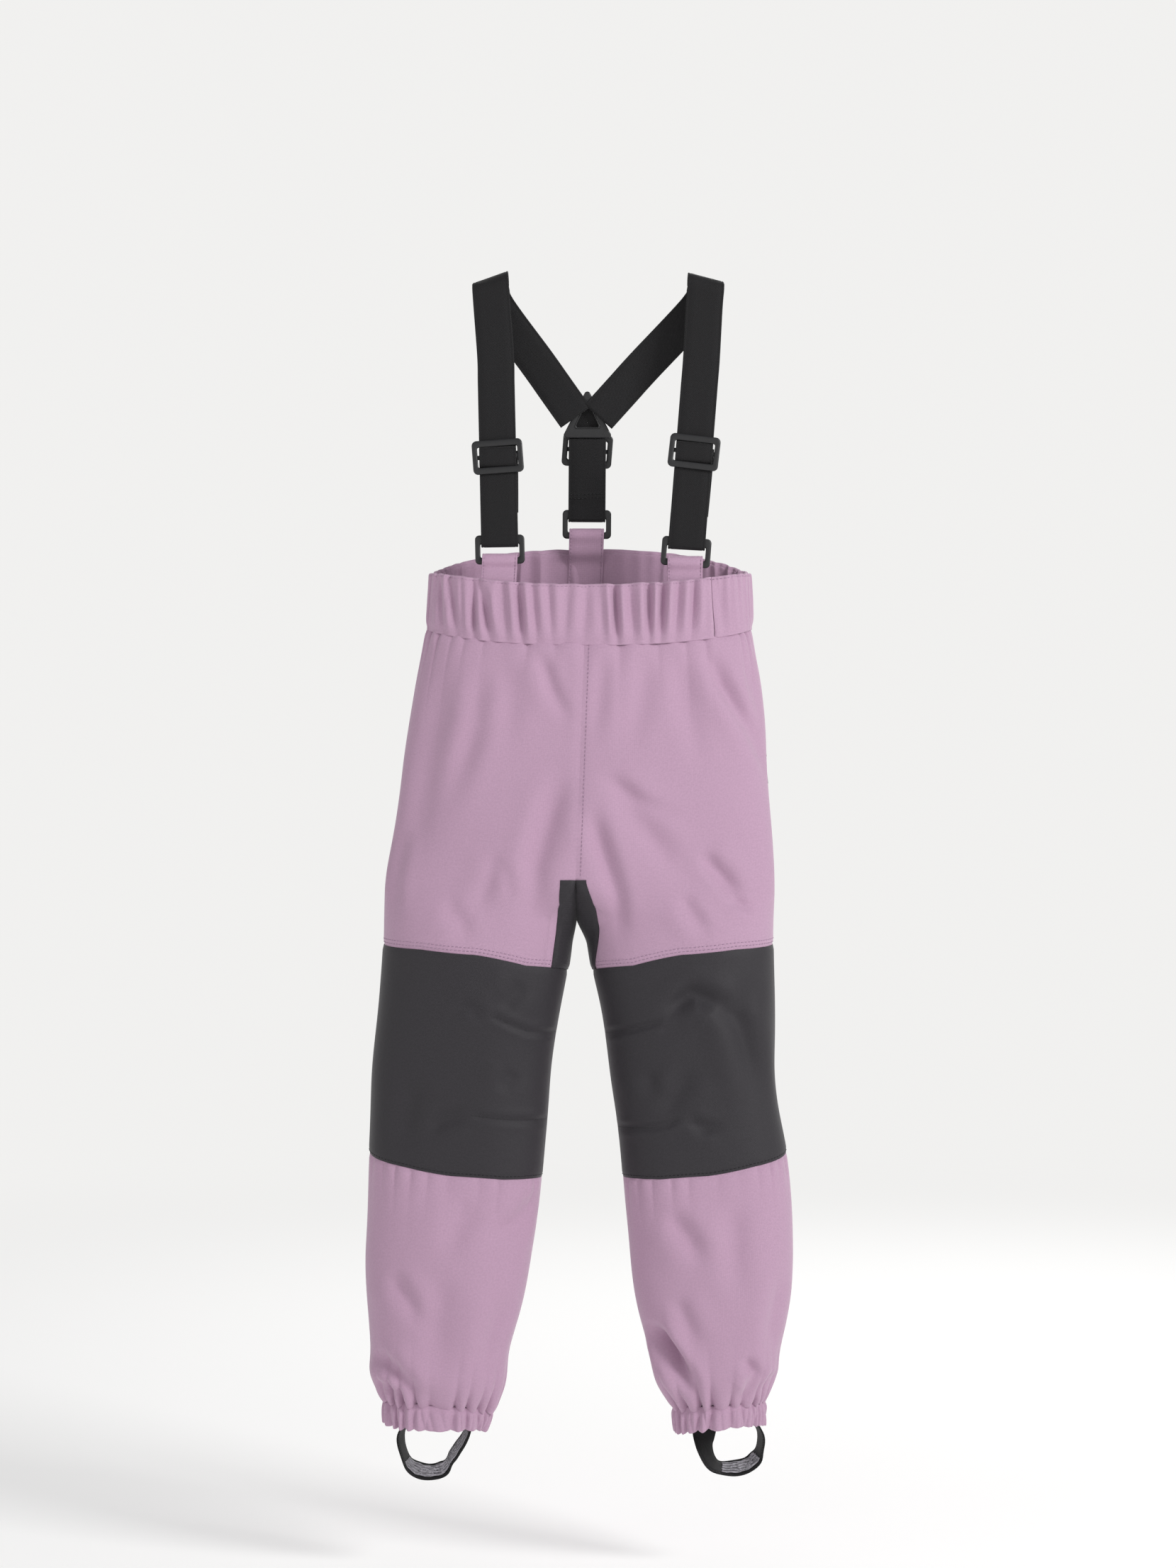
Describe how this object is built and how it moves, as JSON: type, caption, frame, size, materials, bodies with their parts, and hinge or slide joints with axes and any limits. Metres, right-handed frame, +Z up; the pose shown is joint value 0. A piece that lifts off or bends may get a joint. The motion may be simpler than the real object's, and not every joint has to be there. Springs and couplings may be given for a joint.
{
  "type": "ski pants",
  "caption": "Child's padded ski trousers with black knee and seat patches, gathered cuffs with foot stirrups, and clip-free elastic braces joined at the back by a triangular yoke.",
  "frame": {"origin": "midway between the places where the two braces rest on the shoulders or on a hanger", "axes": "+Z up, -Y the wearer's front, +X the wearer's left"},
  "size_m": [0.3492, 0.102, 0.9838],
  "materials": {
    "purple_shell": "matt woven nylon",
    "black_patch": "matt reinforced weave",
    "pocket_lining": "fleece",
    "webbing": "woven elastic",
    "elastic": "woven elastic",
    "moulded_plastic": "satin moulded",
    "zip_metal": "black enamel",
    "zip_tape": "woven tape"
  },
  "bodies": {
    "trousers": {"waistband_front": "purple_shell", "waistband_back": "purple_shell", "waistband_facing": "purple_shell", "waist_elastic": "elastic", "front_panel_left": "purple_shell", "front_panel_right": "purple_shell", "back_panel_left": "purple_shell", "back_panel_right": "purple_shell", "seat_panel_left": "black_patch", "seat_panel_right": "black_patch", "pocket_bag_left": "pocket_lining", "pocket_bag_right": "pocket_lining", "zip_tape_left": "zip_tape", "zip_tape_right": "zip_tape", "front_tab_left": "purple_shell", "front_tab_right": "purple_shell", "back_tab": "purple_shell", "shoulder_strap_left": "webbing", "shoulder_strap_right": "webbing", "back_strap": "webbing", "yoke": "moulded_plastic", "strap_return_left": "webbing", "strap_return_right": "webbing"},
    "zip_slider_left": {"zip_slider_left": "zip_metal"},
    "zip_pull_left": {"zip_pull_left": "zip_tape"},
    "zip_slider_right": {"zip_slider_right": "zip_metal"},
    "zip_pull_right": {"zip_pull_right": "zip_tape"},
    "ring_left": {"ring_left": "moulded_plastic", "strap_fold_left": "webbing"},
    "adjuster_left": {"adjuster_left": "moulded_plastic"},
    "ring_right": {"ring_right": "moulded_plastic", "strap_fold_right": "webbing"},
    "adjuster_right": {"adjuster_right": "moulded_plastic"},
    "ring_back": {"ring_back": "moulded_plastic", "strap_fold_back": "webbing"},
    "adjuster_back": {"adjuster_back": "moulded_plastic"},
    "thigh_left": {"thigh_front_left": "purple_shell", "thigh_back_left": "purple_shell", "inner_thigh_left": "black_patch", "knee_patch_upper_left": "black_patch"},
    "shin_left": {"knee_patch_lower_left": "black_patch", "shin_front_left": "purple_shell", "shin_back_left": "purple_shell", "cuff_left": "purple_shell", "cuff_elastic_left": "elastic", "stirrup_anchor_left": "webbing"},
    "stirrup_left": {"stirrup_left": "webbing"},
    "thigh_right": {"thigh_front_right": "purple_shell", "thigh_back_right": "purple_shell", "inner_thigh_right": "black_patch", "knee_patch_upper_right": "black_patch"},
    "shin_right": {"knee_patch_lower_right": "black_patch", "shin_front_right": "purple_shell", "shin_back_right": "purple_shell", "cuff_right": "purple_shell", "cuff_elastic_right": "elastic", "stirrup_anchor_right": "webbing"},
    "stirrup_right": {"stirrup_right": "webbing"}
  },
  "joints": [
    {"name": "hip_left", "type": "hinge", "parent": "trousers", "child": "thigh_left", "pos_m": [0.071, -0.049, -0.493], "axis": [-1, 0, 0], "range_deg": [0, 90], "stiffness_Nm_per_rad": 0.08, "springref_deg": -57.3},
    {"name": "knee_left", "type": "hinge", "parent": "thigh_left", "child": "shin_left", "pos_m": [0.0845, 0.043, -0.645], "axis": [1, 0, 0], "range_deg": [0, 110], "stiffness_Nm_per_rad": 0.05, "springref_deg": -57.3},
    {"name": "stirrup_swing_left", "type": "hinge", "parent": "shin_left", "child": "stirrup_left", "pos_m": [0.11, 0, -0.932], "axis": [1, 0, 0], "range_deg": [-60, 60]},
    {"name": "hip_right", "type": "hinge", "parent": "trousers", "child": "thigh_right", "pos_m": [-0.0886, -0.049, -0.493], "axis": [-1, 0, 0], "range_deg": [0, 90], "stiffness_Nm_per_rad": 0.08, "springref_deg": -57.3},
    {"name": "knee_right", "type": "hinge", "parent": "thigh_right", "child": "shin_right", "pos_m": [-0.102, 0.043, -0.645], "axis": [1, 0, 0], "range_deg": [0, 110], "stiffness_Nm_per_rad": 0.05, "springref_deg": -57.3},
    {"name": "stirrup_swing_right", "type": "hinge", "parent": "shin_right", "child": "stirrup_right", "pos_m": [-0.124, 0, -0.932], "axis": [1, 0, 0], "range_deg": [-60, 60]},
    {"name": "ring_swing_left", "type": "hinge", "parent": "trousers", "child": "ring_left", "pos_m": [0.0785, -0.023, -0.234], "axis": [0.9968, 0, -0.0802], "range_deg": [-30, 30], "stiffness_Nm_per_rad": 0.02},
    {"name": "adjuster_slide_left", "type": "slide", "parent": "trousers", "child": "adjuster_left", "axis": [0.08, 0.0686, 0.9944], "range_m": [-0.04, 0.06], "deforming": ["strap_return_left"]},
    {"name": "ring_swing_right", "type": "hinge", "parent": "trousers", "child": "ring_right", "pos_m": [-0.071, -0.023, -0.232], "axis": [0.9997, 0, 0.0232], "range_deg": [-30, 30], "stiffness_Nm_per_rad": 0.02},
    {"name": "adjuster_slide_right", "type": "slide", "parent": "trousers", "child": "adjuster_right", "axis": [-0.0232, 0.0696, 0.9973], "range_m": [-0.04, 0.06], "deforming": ["strap_return_right"]},
    {"name": "ring_swing_back", "type": "hinge", "parent": "trousers", "child": "ring_back", "pos_m": [-0.001, 0.0315, -0.208], "axis": [1, 0, -0.0063], "range_deg": [-30, 30], "stiffness_Nm_per_rad": 0.02},
    {"name": "adjuster_slide_back", "type": "slide", "parent": "trousers", "child": "adjuster_back", "axis": [0.0063, -0.107, 0.9942], "range_m": [-0.03, 0]},
    {"name": "zip_slide_left", "type": "slide", "parent": "trousers", "child": "zip_slider_left", "axis": [-0.1017, -0.0468, 0.9937], "range_m": [0, 0.072]},
    {"name": "zip_pull_swing_left", "type": "hinge", "parent": "zip_slider_left", "child": "zip_pull_left", "pos_m": [0.14411, 0.02986, -0.38628], "axis": [0.6431, -0.7652, 0.0297], "range_deg": [0, 165]},
    {"name": "zip_slide_right", "type": "slide", "parent": "trousers", "child": "zip_slider_right", "axis": [0.1576, -0.0465, 0.9864], "range_m": [0, 0.072]},
    {"name": "zip_pull_swing_right", "type": "hinge", "parent": "zip_slider_right", "child": "zip_pull_right", "pos_m": [-0.14797, 0.03026, -0.38601], "axis": [0.6404, 0.7652, -0.0662], "range_deg": [0, 165]}
  ]
}
